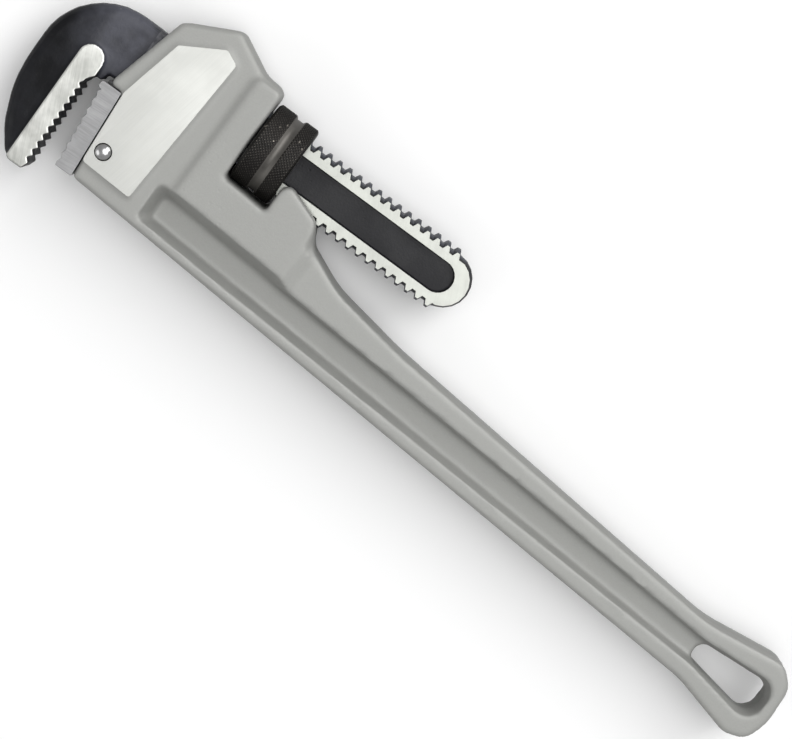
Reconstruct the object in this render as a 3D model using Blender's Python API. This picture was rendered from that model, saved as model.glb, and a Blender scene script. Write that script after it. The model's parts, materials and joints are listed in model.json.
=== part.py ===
"""Pipe wrench of the 450 mm class: cast aluminium handle, forged steel hook jaw and heel jaw.

The wrench lies flat with its handle along +X and its hook jaw at the -X end. Shapes are drawn
in millimetres from the centre of the adjusting nut: x runs along the shank towards the end of
the handle, y across it and z through its thickness. The wrench_axis empty carries every piece,
and stands where it puts the origin at the bottom centre of the whole wrench.
"""
import math

import bmesh
import bpy
from mathutils import Matrix, Vector

MM = 0.001

# Fits
GAP = 0.3                   # between two pieces that touch on the real wrench
SLIDE_GAP = 0.4             # each side of the shank in its channel
JAW_CLOSE = 3.4             # travel left towards the heel jaw

# Shank of the hook jaw and its thread
SHANK_RADIUS = 14.5         # crest of the thread, also half the height of the plain shank
SHANK_HALF = 6.6            # half its thickness
SHANK_REACH = 101.5         # nut centre to the rounded end
SHANK_ROOT = -77.0          # where it ends inside the hook
THREAD_PITCH = 5.2
THREAD_DEPTH = 1.95
THREAD_CREST = 1.3
THREAD_FLANK = 1.05
THREAD_START = 14.3         # a crest on the upper edge
THREAD_FROM = -24.0         # the thread starts right of here
THREAD_RUNOUT = 13.0        # last crest to the rounded end
THREAD_GAP = 0.35
RECESS_FROM = -12.0
RECESS_TO_END = 8.2         # recess to the rounded end
RECESS_HALF = 7.3
RECESS_DEPTH = 2.8
RECESS_DRAFT = 0.7

# Adjusting nut
NUT_LENGTH = 20.2
NUT_WALL = 4.1              # thread crest to the outside
NUT_CHAMFER = 1.0
NUT_GROOVE_WIDTH = 3.4
NUT_GROOVE_DEPTH = 0.9
NUT_GROOVE_SHIFT = 0.8
NUT_PLAY = 1.0              # each side of the nut in its window
NUT_SEGMENTS = 36

# Hook
HOOK_BACK = -107.4          # outermost point of the hook
HOOK_HALF = 8.3             # half thickness of the forging
HOOK_ROUND = 4.5            # rounding of its back
ARM_HALF = 6.9              # half thickness of the arm where it enters the head
ARM_DROP = 3.0              # underside of the arm below the shank
STRIP_HALF = 9.5            # half thickness of the ground strip behind the teeth
STRIP_WIDTH = 11.8
STRIP_RISE = 8.2            # top of the strip above the shank's lower edge
JAW_FACE = -80.9            # crests of the hook teeth
HOOK_TEETH = 11
HOOK_TOOTH_PITCH = 3.87
HOOK_TOOTH_DEPTH = 1.8
HOOK_TOOTH_DROP = 7.5       # first crest below the arm
HOOK_TIP_DROP = 3.6         # lowest point of the hook below its last crest

# Heel jaw
HEEL_INSET = 0.3            # each face of the heel jaw behind the head's
HEEL_HEIGHT = 40.6
HEEL_DROP = 1.9             # top of the heel jaw under the shank
HEEL_FACE_TOP = -74.5       # crest of its top tooth
HEEL_FACE_BOTTOM = -71.4    # crest of its bottom tooth
HEEL_BACK_TOP = -65.7
HEEL_BACK_BOTTOM = -63.1
HEEL_TEETH = 9
HEEL_TOOTH_DEPTH = 0.9
HEEL_LIP = 0.9              # lip over the top tooth
TANG_HALF = 6.0
TANG_TO = -50.4
TANG_TOP = 7.5              # top of the tang below the top of the jaw
TANG_BOTTOM = 5.0           # bottom of the tang above the bottom of the jaw
TANG_CORNER = 4.0
PIN_RADIUS = 3.5
PIN_X = -57.8
PIN_DROP = 24.2             # below the top of the heel jaw
PIN_DOME = 2.0              # height of the dome at each end of the pin

# Handle casting, half thicknesses
HEAD_HALF = 13.0
PAD_PROUD = 1.0             # machined pad above the head's face
BOSS_PROUD = 2.0            # block round the window above the head's face
FLANGE_HALF = 9.8
WEB_HALF = 3.5
CAST_EDGE = 1.8             # rounding of the casting's outer edges
CORNER = CAST_EDGE + 0.6    # smallest corner that this rounding goes round

# Handle casting, plan
HEAD_LEFT = -72.6
ROOF_SHOULDER = 7.9         # roof over the shank at its left shoulder
ROOF_PEAK = 19.4
ROOF_PEAK_X = -40.0
ROOF_VALLEY = 10.0
ROOF_VALLEY_X = -21.8
ROOF_WINDOW = 9.2
FLOOR_LEFT = 0.6            # window's floor below the nut, at its left and right corners
FLOOR_RIGHT = 2.0
LOBE_CREST = -4.6
LOBE_SHOULDER = (31.6, 7.4, 6)
UPPER_EDGE = ((36.4, 17.2, 8), (56, 25.8, 50), (92, 31.7, 150))
BOSS_LEFT = -23.0           # top of the sloped left side of the block round the window
BOSS_SLOPE = 7.0
BOSS_EDGE = 1.5
PAD_SLANT = 4.6             # lean of the pad's right side
PAD_RIGHT = -33.3
POCKET_LEFT = -27.0
POCKET_TOP = 15.7           # left end of the pocket above the sole: its upper and lower walls
POCKET_BOTTOM = 4.6
POCKET_SLOPE = -0.058       # rise of its upper wall along x
POCKET_DRAFT = (5.6, 6.0, 3.2)  # slope of the pocket's left end, of its wall at the boss, and elsewhere
HANDLE_REACH = 318.1        # nut centre to the end of the handle
HANDLE_SLANT = 9.9          # middle of the handle's end below the sole at the heel jaw
NECK_HALF_UP = 15.1         # neck in front of the flared end, above its middle
NECK_HALF_DOWN = 12.1
END_HALF = 19.9             # half width of the flared end
NECK_TO_END = 48.0
HOLE_LENGTH = 38.0
END_WALL = 5.9              # hanging hole to the end of the handle

# Springs
FLAT_THICK = 0.9
FLAT_HALF_WIDTH = 4.5
FLAT_RIVET_X = -51.0
FLAT_BEHIND = 6.0           # left end of the spring to its rivet
FLAT_AHEAD = 29.0           # rivet to its right end
FLAT_RIVET_RADIUS = 1.4
FLAT_RIVET_LENGTH = 7.0
SPRING_ROOM = 2.7           # channel roof above the shank
COIL_X = -32.0
COIL_RADIUS = 3.1
COIL_WIRE = 0.55
COIL_TURNS = 6
COIL_SIDES = 14             # straight stretches in a turn
COIL_LENGTH = 17.6
COIL_PIN_RADIUS = 1.5
COIL_PIN_LENGTH = 9.0       # guide above its flange
COIL_PIN_ROOT = 4.6         # root below its flange
COIL_FLANGE = 0.9

# Values worked out from the sizes above
THREAD_ROOT = SHANK_RADIUS - THREAD_DEPTH
TEETH_LEFT = int((THREAD_START - THREAD_FROM) / THREAD_PITCH)
TEETH_RIGHT = int((SHANK_REACH - THREAD_RUNOUT - THREAD_START) / THREAD_PITCH)
NUT_RADIUS = SHANK_RADIUS + NUT_WALL
ARM_UNDER = -(SHANK_RADIUS + ARM_DROP)
STRIP_TOP = STRIP_RISE - SHANK_RADIUS
HOOK_TOOTH_TOP = ARM_UNDER - HOOK_TOOTH_DROP
HOOK_TOOTH_LOW = HOOK_TOOTH_TOP - (HOOK_TEETH - 1) * HOOK_TOOTH_PITCH
HOOK_TIP = HOOK_TOOTH_LOW - HOOK_TIP_DROP
PAD_HALF = HEAD_HALF + PAD_PROUD
BOSS_HALF = HEAD_HALF + BOSS_PROUD
HEEL_HALF = HEAD_HALF - HEEL_INSET
HEEL_TOP = -(SHANK_RADIUS + HEEL_DROP)
HEEL_BOTTOM = HEEL_TOP - HEEL_HEIGHT
SOLE = HEEL_BOTTOM
PIN_Y = HEEL_TOP - PIN_DROP
HANDLE_DROP = SOLE - HANDLE_SLANT
CHANNEL_HALF = SHANK_HALF + SLIDE_GAP
CHANNEL_FLOOR = -(SHANK_RADIUS + 2 * SLIDE_GAP)
CHANNEL_ROOF = SHANK_RADIUS + SPRING_ROOM
WINDOW_HALF = NUT_LENGTH / 2 + NUT_PLAY
WINDOW_FLOOR_LEFT = -(NUT_RADIUS + FLOOR_LEFT)
WINDOW_FLOOR_RIGHT = -(NUT_RADIUS + FLOOR_RIGHT)
NECK_X = HANDLE_REACH - NECK_TO_END

STEEL_BLACK = (0.012, 0.013, 0.018, 1.0)
STEEL_DARK = (0.035, 0.033, 0.031, 1.0)
STEEL_BRIGHT = (0.55, 0.56, 0.56, 1.0)
STEEL_GREY = (0.36, 0.36, 0.36, 1.0)
ALUMINIUM = (0.40, 0.40, 0.38, 1.0)


# ---------------------------------------------------------------- outlines

def arc(corner, before, after, radius, steps):
    """Points of the arc that rounds a corner, as a rational quadratic curve, which is exact."""
    back = (before - corner).normalized()
    ahead = (after - corner).normalized()
    half = back.angle(ahead) / 2
    start = corner + back * (radius / math.tan(half))
    end = corner + ahead * (radius / math.tan(half))
    points = []
    for i in range(steps + 1):
        t = i / steps
        weights = ((1 - t) ** 2, 2 * t * (1 - t) * math.sin(half), t ** 2)
        total = start * weights[0] + corner * weights[1] + end * weights[2]
        points.append(total / sum(weights))
    return points


def rounded(corners, steps=4):
    """Closed outline of (x, y, radius) corners; each radius becomes an arc of `steps` chords."""
    spots = [Vector(corner[:2]) for corner in corners]
    outline = []
    for i, corner in enumerate(corners):
        radius = corner[2] if len(corner) > 2 else 0
        if radius:
            after = spots[(i + 1) % len(spots)]
            outline += arc(spots[i], spots[i - 1], after, radius, steps)
        else:
            outline.append(spots[i])
    return outline


def rectangle(x0, y0, x1, y1):
    return [Vector((x0, y0)), Vector((x1, y0)), Vector((x1, y1)), Vector((x0, y1))]


def teeth(first, last, count, depth):
    """Saw teeth from the crest `first` to the crest `last`; their roots lie at x + depth."""
    points = []
    for i in range(count):
        crest = first.lerp(last, i / (count - 1))
        points.append(crest)
        if i < count - 1:
            root = first.lerp(last, (i + 0.5) / (count - 1))
            points.append(root + Vector((depth, 0)))
    return points


# ---------------------------------------------------------------- solids

def loft(layers):
    """bmesh through outlines of equal length: layers is a list of (outline, z) going up."""
    bm = bmesh.new()
    rings = [[bm.verts.new((x, y, z)) for x, y in outline] for outline, z in layers]
    for low, high in zip(rings, rings[1:]):
        for i in range(len(low)):
            j = (i + 1) % len(low)
            bm.faces.new((low[i], low[j], high[j], high[i]))
    bm.faces.new(rings[0])
    bm.faces.new(rings[-1])
    bmesh.ops.recalc_face_normals(bm, faces=bm.faces)
    return bm


def slab(outline, half):
    return loft([(outline, -half), (outline, half)])


def box(x0, y0, x1, y1, half):
    return slab(rectangle(x0, y0, x1, y1), half)


def rim_edges(bm, half, keep=lambda middle: True):
    """Edges of the two flat faces of a slab; keep picks them by their middle point."""
    edges = []
    for edge in bm.edges:
        a, b = (vert.co for vert in edge.verts)
        flat = abs(abs(a.z) - half) < 1e-4 and abs(a.z - b.z) < 1e-4
        if flat and keep((a + b) / 2):
            edges.append(edge)
    return edges


def bevel(bm, edges, width, segments):
    bmesh.ops.bevel(bm, geom=edges, offset=width, offset_type="OFFSET", segments=segments,
                    profile=0.5, affect="EDGES", material=-1)


def thin(bm, start, end, half_before, half_after):
    """Change the slab's half thickness evenly between x = start and x = end."""
    for x in (start, end):
        geom = bm.verts[:] + bm.edges[:] + bm.faces[:]
        bmesh.ops.bisect_plane(bm, geom=geom, plane_co=(x, 0, 0), plane_no=(1, 0, 0))
    for vert in bm.verts:
        share = min(max((vert.co.x - start) / (end - start), 0), 1)
        vert.co.z *= 1 + share * (half_after / half_before - 1)


def cylinder(radius, low, high, segments=32):
    """Cylinder along z from low to high."""
    circle = [Vector((radius * math.cos(a), radius * math.sin(a)))
              for a in (2 * math.pi * i / segments for i in range(segments))]
    return loft([(circle, low), (circle, high)])


def turned(profile, segments=32):
    """Solid of revolution about z; the (radius, z) profile starts and ends on the axis."""
    bm = bmesh.new()
    verts = [bm.verts.new((radius, 0, z)) for radius, z in profile]
    edges = [bm.edges.new(pair) for pair in zip(verts, verts[1:])]
    bmesh.ops.spin(bm, geom=verts + edges, cent=(0, 0, 0), axis=(0, 0, 1), dvec=(0, 0, 0),
                   angle=2 * math.pi, steps=segments, use_merge=True)
    bmesh.ops.remove_doubles(bm, verts=bm.verts, dist=1e-4)
    bmesh.ops.recalc_face_normals(bm, faces=bm.faces)
    return bm


def placed(bm, turn=None, move=(0, 0, 0)):
    """The bmesh turned about the origin and then moved, in millimetres."""
    if turn is not None:
        bmesh.ops.rotate(bm, cent=(0, 0, 0), matrix=turn, verts=bm.verts)
    bmesh.ops.translate(bm, vec=move, verts=bm.verts)
    return bm


Z_TO_Y = Matrix.Rotation(math.radians(-90), 3, "X")
Z_TO_X = Matrix.Rotation(math.radians(90), 3, "Y")


# ---------------------------------------------------------------- objects

def material(name, colour, roughness, metallic):
    mat = bpy.data.materials.new(name)
    mat.use_nodes = True
    shader = mat.node_tree.nodes["Principled BSDF"]
    shader.inputs["Base Color"].default_value = colour
    shader.inputs["Roughness"].default_value = roughness
    shader.inputs["Metallic"].default_value = metallic
    return mat


def piece(name, bm, axis, finish):
    """Object in metres from a bmesh in millimetres, carried by the wrench_axis empty."""
    bmesh.ops.scale(bm, vec=(MM, MM, MM), verts=bm.verts)
    mesh = bpy.data.meshes.new(name)
    bm.to_mesh(mesh)
    bm.free()
    mesh.shade_smooth()
    mesh.set_sharp_from_angle(angle=math.radians(35))
    obj = bpy.data.objects.new(name, mesh)
    bpy.context.scene.collection.objects.link(obj)
    obj.parent = axis
    if finish:
        mesh.materials.append(finish)
    return obj


def combine(target, name, bm, operation):
    """Join the solid to the target, or cut it away, with an exact Boolean."""
    tool = piece(name, bm, target.parent, None)
    tool.hide_render = True
    tool.display_type = "WIRE"
    change = target.modifiers.new(name, "BOOLEAN")
    change.operation = operation
    change.solver = "EXACT"
    change.object = tool


# ---------------------------------------------------------------- handle casting

def handle_outline():
    """Silhouette of the casting, from the heel jaw round the roof, the window and the end."""
    window_left = -WINDOW_HALF - GAP
    window_right = WINDOW_HALF + GAP
    seat_top = HEEL_TOP + GAP
    drop = HANDLE_DROP
    end = HANDLE_REACH
    upper_edge = [(x, LOBE_CREST - fall, radius) for x, fall, radius in (LOBE_SHOULDER, *UPPER_EDGE)]
    return rounded([
        (HEEL_BACK_BOTTOM + GAP, SOLE, CORNER),
        (HEEL_BACK_TOP + GAP, seat_top),
        (HEAD_LEFT, seat_top, CORNER),
        (HEAD_LEFT + 10.3, SHANK_RADIUS + ROOF_SHOULDER, 4),
        (ROOF_PEAK_X, SHANK_RADIUS + ROOF_PEAK, 5),
        (ROOF_VALLEY_X, SHANK_RADIUS + ROOF_VALLEY, 12),
        (window_left, SHANK_RADIUS + ROOF_WINDOW, 4),
        (window_left, WINDOW_FLOOR_LEFT - GAP),
        (window_right, WINDOW_FLOOR_RIGHT - GAP),
        (window_right, LOBE_CREST - 0.6, 4),
        *upper_edge,
        (NECK_X, drop + NECK_HALF_UP, 60),
        (end - 9.5, drop + END_HALF + 0.2, 9),
        (end - 1.2, drop + 12.5, 10),
        (end + 0.3, drop - 6.0, 25),
        (end - 3.2, drop - 16.8, 8),
        (end - 13.0, drop - END_HALF, 9),
        (NECK_X + 5, drop - NECK_HALF_DOWN, 40),
    ])


def handle_body():
    """Solid blank of the whole casting, thinner along the handle than at the head."""
    bm = slab(handle_outline(), HEAD_HALF)
    bevel(bm, rim_edges(bm, HEAD_HALF), CAST_EDGE, 2)
    thin(bm, WINDOW_HALF, NECK_X, HEAD_HALF, FLANGE_HALF)
    return bm


def boss():
    """Thick block around the nut's window, sloped at its left side and into the handle."""
    top = SHANK_RADIUS + ROOF_WINDOW - 0.5
    bottom = SOLE + 9.0
    shoulder_x, shoulder_fall, _ = LOBE_SHOULDER
    foot_x, foot_fall, _ = UPPER_EDGE[0]

    def outline(left, right, lobe_x, lobe_fall):
        return rounded([
            (left, top, 3),
            (-WINDOW_HALF, top, 3),
            (-WINDOW_HALF, WINDOW_FLOOR_LEFT, BOSS_EDGE + 0.1),
            (WINDOW_HALF, WINDOW_FLOOR_RIGHT, BOSS_EDGE + 0.1),
            (WINDOW_HALF, LOBE_CREST, 3.8),
            (shoulder_x - 0.4, LOBE_CREST - shoulder_fall + 0.3, 5),
            (lobe_x, LOBE_CREST - lobe_fall, 2.5),
            (right, LOBE_CREST - lobe_fall - 9.0, 2.5),
            (right, bottom),
            (left - 1.0, bottom),
        ])
    foot = outline(BOSS_LEFT - BOSS_SLOPE, foot_x + 15.6, foot_x - 0.2, foot_fall + 0.4)
    crown = outline(BOSS_LEFT, shoulder_x + 2.0, shoulder_x + 1.0, shoulder_fall + 2.6)
    foot_z = BOSS_HALF - 6.0
    bm = loft([(crown, -BOSS_HALF), (foot, -foot_z), (foot, foot_z), (crown, BOSS_HALF)])
    bevel(bm, rim_edges(bm, BOSS_HALF), BOSS_EDGE, 3)
    return bm


def pads():
    """Flat machined pads, one on each side of the head."""
    outline = rounded([
        (HEAD_LEFT + 9.4, SOLE + 8.0, 2),
        (HEAD_LEFT + 7.2, HEEL_TOP + 1.4, 3),
        (HEAD_LEFT + 14.2, SHANK_RADIUS - 0.3, 2),
        (ROOF_PEAK_X - 0.5, SHANK_RADIUS + ROOF_PEAK - 9.1, 2),
        (PAD_RIGHT, SHANK_RADIUS + ROOF_PEAK - 12.4, 2),
        (PAD_RIGHT - PAD_SLANT, SOLE + 6.8, 1.5),
    ])
    bm = slab(outline, PAD_HALF)
    bevel(bm, rim_edges(bm, PAD_HALF), 0.35, 1)
    return bm


def pocket(side):
    """Cutter for the I-beam's recess on one side, side = 1 or -1, with drafted walls."""
    end = HANDLE_REACH - END_WALL
    drop = HANDLE_DROP

    def wall(x):
        return SOLE + POCKET_TOP + (x - POCKET_LEFT) * POCKET_SLOPE

    def outline(left, boss_draft, draft):
        return rounded([
            (POCKET_LEFT - left, SOLE + POCKET_BOTTOM - draft, 2.5),
            (POCKET_LEFT - left, wall(POCKET_LEFT) + boss_draft, 2.5),
            (31, wall(31) + boss_draft - 0.2, 6),
            (43, wall(43) + draft, 6),
            (155, wall(155) + draft, 40),
            (NECK_X + 4, drop + 7.0 + draft, 30),
            (end, drop + 9.2 + draft, 7.5),
            (end, drop - 9.4 - draft, 7.5),
            (NECK_X + 6, drop - 2.5 - draft, 30),
        ])
    floor = outline(0, 0, 0)
    mouth = outline(*POCKET_DRAFT)
    layers = [(floor, WEB_HALF), (mouth, BOSS_HALF + 1)]
    if side < 0:
        layers = [(outline_, -z) for outline_, z in reversed(layers)]
    return loft(layers)


def hanging_hole():
    """Cutter for the drop-shaped hole through the web at the end of the handle."""
    right = HANDLE_REACH - END_WALL - 0.2
    left = right - HOLE_LENGTH
    drop = HANDLE_DROP
    outline = rounded([
        (left, drop + 6.2, 4.4),
        (left, drop - 3.2, 4.4),
        (right, drop - 9.2, 7.3),
        (right, drop + 8.7, 7.3),
    ])
    return slab(outline, WEB_HALF + 2)


def make_handle(axis):
    finish = material("cast_aluminium", ALUMINIUM, 0.5, 0.6)
    handle = piece("handle", handle_body(), axis, finish)
    combine(handle, "boss", boss(), "UNION")
    combine(handle, "pads", pads(), "UNION")
    channel = box(-120, CHANNEL_FLOOR, -WINDOW_HALF + 1, CHANNEL_ROOF, CHANNEL_HALF)
    combine(handle, "shank_channel", channel, "DIFFERENCE")
    fork = box(WINDOW_HALF - 1, CHANNEL_FLOOR, 80, 60, CHANNEL_HALF)
    combine(handle, "fork_slot", fork, "DIFFERENCE")
    slot_low = HEEL_BOTTOM + TANG_BOTTOM - GAP
    slot_high = HEEL_TOP - TANG_TOP + GAP
    slot = box(-100, slot_low, TANG_TO + GAP, slot_high, TANG_HALF + GAP)
    combine(handle, "heel_slot", slot, "DIFFERENCE")
    combine(handle, "pin_hole", pin_hole(), "DIFFERENCE")
    combine(handle, "front_pocket", pocket(1), "DIFFERENCE")
    combine(handle, "back_pocket", pocket(-1), "DIFFERENCE")
    combine(handle, "hanging_hole", hanging_hole(), "DIFFERENCE")
    combine(handle, "coil_bore", coil_bore(), "DIFFERENCE")
    combine(handle, "rivet_bore", rivet_bore(), "DIFFERENCE")


# ---------------------------------------------------------------- hook jaw

def thread_side(z, upper):
    """Edge of the shank at height z in its thickness: the thread's helix cut by that plane."""
    breaks = (
        (-THREAD_CREST / 2 - THREAD_FLANK, THREAD_ROOT),
        (-THREAD_CREST / 2, SHANK_RADIUS),
        (THREAD_CREST / 2, SHANK_RADIUS),
        (THREAD_CREST / 2 + THREAD_FLANK, THREAD_ROOT),
    )
    side = 1 if upper else -1
    start = THREAD_START if upper else THREAD_START + THREAD_PITCH / 2
    points = []
    for tooth in range(-TEETH_LEFT, TEETH_RIGHT + 1):
        for shift, radius in breaks:
            lead = side * THREAD_PITCH * math.asin(z / radius) / (2 * math.pi)
            x = start + tooth * THREAD_PITCH + shift + lead
            points.append(Vector((x, side * math.sqrt(radius ** 2 - z ** 2))))
    first = -TEETH_LEFT * THREAD_PITCH + start - THREAD_PITCH
    plain = Vector((first, side * math.sqrt(SHANK_RADIUS ** 2 - z ** 2)))
    return [Vector((SHANK_ROOT, plain.y)), plain] + points


def shank_outline(z, steps=10):
    """Outline of the shank at height z, with a round end."""
    upper = thread_side(z, True)
    lower = thread_side(z, False)
    radius = THREAD_ROOT * math.sqrt(1 - (z / SHANK_RADIUS) ** 2)
    centre = SHANK_REACH - THREAD_ROOT
    end = []
    for i in range(1, steps):
        turn = math.pi * (0.5 - i / steps)
        end.append(Vector((centre + radius * math.cos(turn), radius * math.sin(turn))))
    return upper + [spot for spot in end if spot.x > lower[-1].x + 0.5] + lower[::-1]


def shank():
    levels = [SHANK_HALF * share for share in (-1, -0.5, 0, 0.5, 1)]
    return loft([(shank_outline(z), z) for z in levels])


def hook_body():
    """Forged back of the hook and its arm over the mouth, with a generously rounded back."""
    face = JAW_FACE - HOOK_TOOTH_DEPTH - 0.8
    arm_end = HEAD_LEFT - JAW_CLOSE - 0.5
    top = SHANK_RADIUS - 0.1
    outline = rounded([
        (arm_end, ARM_UNDER),
        (face, ARM_UNDER),
        (face, HOOK_TIP + 1.0),
        (HOOK_BACK + 15.6, HOOK_TIP + 0.3, 5),
        (HOOK_BACK + 7.4, HOOK_TIP + 11.2, 30),
        (HOOK_BACK, HOOK_TIP + 30.7, 60),
        (HOOK_BACK, top, 30.5),
        (arm_end + 8.1, top),
    ], steps=10)
    bm = slab(outline, HOOK_HALF)
    outer = rim_edges(bm, HOOK_HALF, lambda mid: mid.x < face - 7 or mid.y > 0)
    bevel(bm, outer, HOOK_ROUND, 3)
    thin(bm, face - 4, arm_end, HOOK_HALF, ARM_HALF)
    return bm


def strip():
    """Ground strip that carries the hook's teeth through the full thickness."""
    right = JAW_FACE + 1.9
    left = right - STRIP_WIDTH
    top_crest = Vector((JAW_FACE, HOOK_TOOTH_TOP))
    low_crest = Vector((JAW_FACE, HOOK_TOOTH_LOW))
    outline = rounded([
        (JAW_FACE - 1.0, HOOK_TIP, 1.2),
        (left, HOOK_TIP, 2.5),
        (left, STRIP_TOP, STRIP_WIDTH / 2 - 0.1),
        (right, STRIP_TOP, STRIP_WIDTH / 2 - 0.1),
        (right, ARM_UNDER),
        (JAW_FACE - 0.6, HOOK_TOOTH_TOP + 4.5, 3),
    ])
    root = Vector((JAW_FACE - HOOK_TOOTH_DEPTH, HOOK_TOOTH_TOP + HOOK_TOOTH_PITCH / 2 - 0.4))
    outline += [root] + teeth(top_crest, low_crest, HOOK_TEETH, -HOOK_TOOTH_DEPTH)
    return slab(outline, STRIP_HALF)


def recess(side):
    """Cutter for the forged recess in one face of the shank."""
    right = SHANK_REACH - RECESS_TO_END

    def outline(draft):
        half = RECESS_HALF - draft
        return rounded([
            (RECESS_FROM + draft, -half, half - 0.1),
            (right - draft, -half, half - 0.1),
            (right - draft, half, half - 0.1),
            (RECESS_FROM + draft, half, half - 0.1),
        ], steps=6)
    floor = SHANK_HALF - RECESS_DEPTH
    layers = [(outline(RECESS_DRAFT), floor), (outline(0), SHANK_HALF + 0.5)]
    if side < 0:
        layers = [(ring, -z) for ring, z in reversed(layers)]
    return loft(layers)


def make_hook_jaw(axis):
    finish = material("forged_steel", STEEL_BLACK, 0.35, 0.8)
    hook = piece("hook_jaw", shank(), axis, finish)
    combine(hook, "hook_body", hook_body(), "UNION")
    combine(hook, "tooth_strip", strip(), "UNION")
    combine(hook, "front_recess", recess(1), "DIFFERENCE")
    combine(hook, "back_recess", recess(-1), "DIFFERENCE")


# ---------------------------------------------------------------- heel jaw and its pin

def heel_block():
    """Toothed block as thick as the head, with a small lip over its top tooth."""
    top_crest = Vector((HEEL_FACE_TOP, HEEL_TOP - 5.1))
    low_crest = Vector((HEEL_FACE_BOTTOM, HEEL_BOTTOM + 1.6))
    outline = rounded([
        (HEEL_FACE_BOTTOM + 0.3, HEEL_BOTTOM),
        (HEEL_BACK_BOTTOM, HEEL_BOTTOM, 0.6),
        (HEEL_BACK_TOP, HEEL_TOP, 0.6),
        (HEEL_FACE_TOP - HEEL_LIP, HEEL_TOP, 1.2),
        (HEEL_FACE_TOP - HEEL_LIP, HEEL_TOP - 3.2, 1.0),
        (HEEL_FACE_TOP + HEEL_TOOTH_DEPTH, HEEL_TOP - 3.6),
    ])
    outline += teeth(top_crest, low_crest, HEEL_TEETH, HEEL_TOOTH_DEPTH)
    return slab(outline, HEEL_HALF)


def heel_tang():
    """Tongue in the head's slot that the pin goes through."""
    inside = HEEL_BACK_TOP - 1.5
    low = HEEL_BOTTOM + TANG_BOTTOM
    high = HEEL_TOP - TANG_TOP
    outline = rounded([
        (inside, low),
        (TANG_TO, low, TANG_CORNER),
        (TANG_TO, high, TANG_CORNER),
        (inside, high),
    ])
    return slab(outline, TANG_HALF)


def pin_hole():
    bm = cylinder(PIN_RADIUS + GAP, -2 * BOSS_HALF, 2 * BOSS_HALF)
    return placed(bm, move=(PIN_X, PIN_Y, 0))


def make_heel_jaw(axis):
    finish = material("ground_steel", STEEL_GREY, 0.4, 0.9)
    heel = piece("heel_jaw", heel_block(), axis, finish)
    combine(heel, "heel_tang", heel_tang(), "UNION")
    under_arm = ARM_UNDER - 2 * SLIDE_GAP
    over = box(HEEL_FACE_TOP - 5, under_arm, HEEL_BACK_TOP + 5, 0, STRIP_HALF + SLIDE_GAP)
    combine(heel, "arm_relief", over, "DIFFERENCE")
    combine(heel, "heel_pin_hole", pin_hole(), "DIFFERENCE")


def make_heel_jaw_pin(axis):
    finish = material("polished_steel", STEEL_BRIGHT, 0.2, 1.0)
    shoulder = PAD_HALF - 0.3
    dome = [(PIN_RADIUS * math.cos(turn), PIN_DOME * math.sin(turn))
            for turn in (math.pi / 2 * i / 5 for i in range(6))]
    upper = [(radius, shoulder + rise) for radius, rise in dome]
    lower = [(radius, -z) for radius, z in reversed(upper)]
    upper[-1] = (0, shoulder + PIN_DOME)
    lower[0] = (0, -shoulder - PIN_DOME)
    bm = turned(lower + upper)
    piece("heel_jaw_pin", placed(bm, move=(PIN_X, PIN_Y, 0)), axis, finish)


# ---------------------------------------------------------------- adjusting nut

def nut_blank():
    """Nut turned about x: chamfered ends, a groove round the middle and a plain bore."""
    half = NUT_LENGTH / 2
    bore = THREAD_ROOT + THREAD_GAP
    mouth = SHANK_RADIUS + THREAD_GAP
    groove = NUT_RADIUS - NUT_GROOVE_DEPTH
    left = NUT_GROOVE_SHIFT - NUT_GROOVE_WIDTH / 2
    right = NUT_GROOVE_SHIFT + NUT_GROOVE_WIDTH / 2
    profile = [
        (bore, -half + mouth - bore), (mouth, -half), (NUT_RADIUS - NUT_CHAMFER, -half),
        (NUT_RADIUS, -half + NUT_CHAMFER), (NUT_RADIUS, left - 0.3), (groove, left + 0.3),
        (groove, right - 0.3), (NUT_RADIUS, right + 0.3), (NUT_RADIUS, half - NUT_CHAMFER),
        (NUT_RADIUS - NUT_CHAMFER, half), (mouth, half), (bore, half - mouth + bore),
    ]
    bm = bmesh.new()
    verts = [bm.verts.new((radius, 0, z)) for radius, z in profile]
    edges = [bm.edges.new((verts[i - 1], verts[i])) for i in range(len(verts))]
    bmesh.ops.spin(bm, geom=verts + edges, cent=(0, 0, 0), axis=(0, 0, 1), dvec=(0, 0, 0),
                   angle=2 * math.pi, steps=2 * NUT_SEGMENTS, use_merge=True)
    bmesh.ops.recalc_face_normals(bm, faces=bm.faces)
    return placed(bm, turn=Z_TO_X)


def thread_groove():
    """Cutter for the nut's thread: the shank's tooth, widened by its clearance, on a helix."""
    slope = THREAD_FLANK / THREAD_DEPTH
    outer = SHANK_RADIUS + THREAD_GAP
    inner = THREAD_ROOT + THREAD_GAP - 0.5
    wide = [THREAD_CREST / 2 + (SHANK_RADIUS - r) * slope + THREAD_GAP for r in (outer, inner)]
    section = [(-wide[0], outer), (wide[0], outer), (wide[1], inner), (-wide[1], inner)]
    turns = NUT_LENGTH / THREAD_PITCH + 2
    steps = math.ceil(turns * NUT_SEGMENTS)
    crests_back = math.ceil((THREAD_START + NUT_LENGTH / 2) / THREAD_PITCH + 1)
    first = THREAD_START - crests_back * THREAD_PITCH
    bm = bmesh.new()
    rings = []
    for i in range(steps + 1):
        turn = 2 * math.pi * i / NUT_SEGMENTS
        lead = first + THREAD_PITCH * i / NUT_SEGMENTS
        ring = [(lead + x, r * math.cos(turn), r * math.sin(turn)) for x, r in section]
        rings.append([bm.verts.new(spot) for spot in ring])
    for low, high in zip(rings, rings[1:]):
        for i in range(len(section)):
            j = (i + 1) % len(section)
            bm.faces.new((low[i], low[j], high[j], high[i]))
    bm.faces.new(rings[0])
    bm.faces.new(rings[-1])
    bmesh.ops.recalc_face_normals(bm, faces=bm.faces)
    return bm


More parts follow.
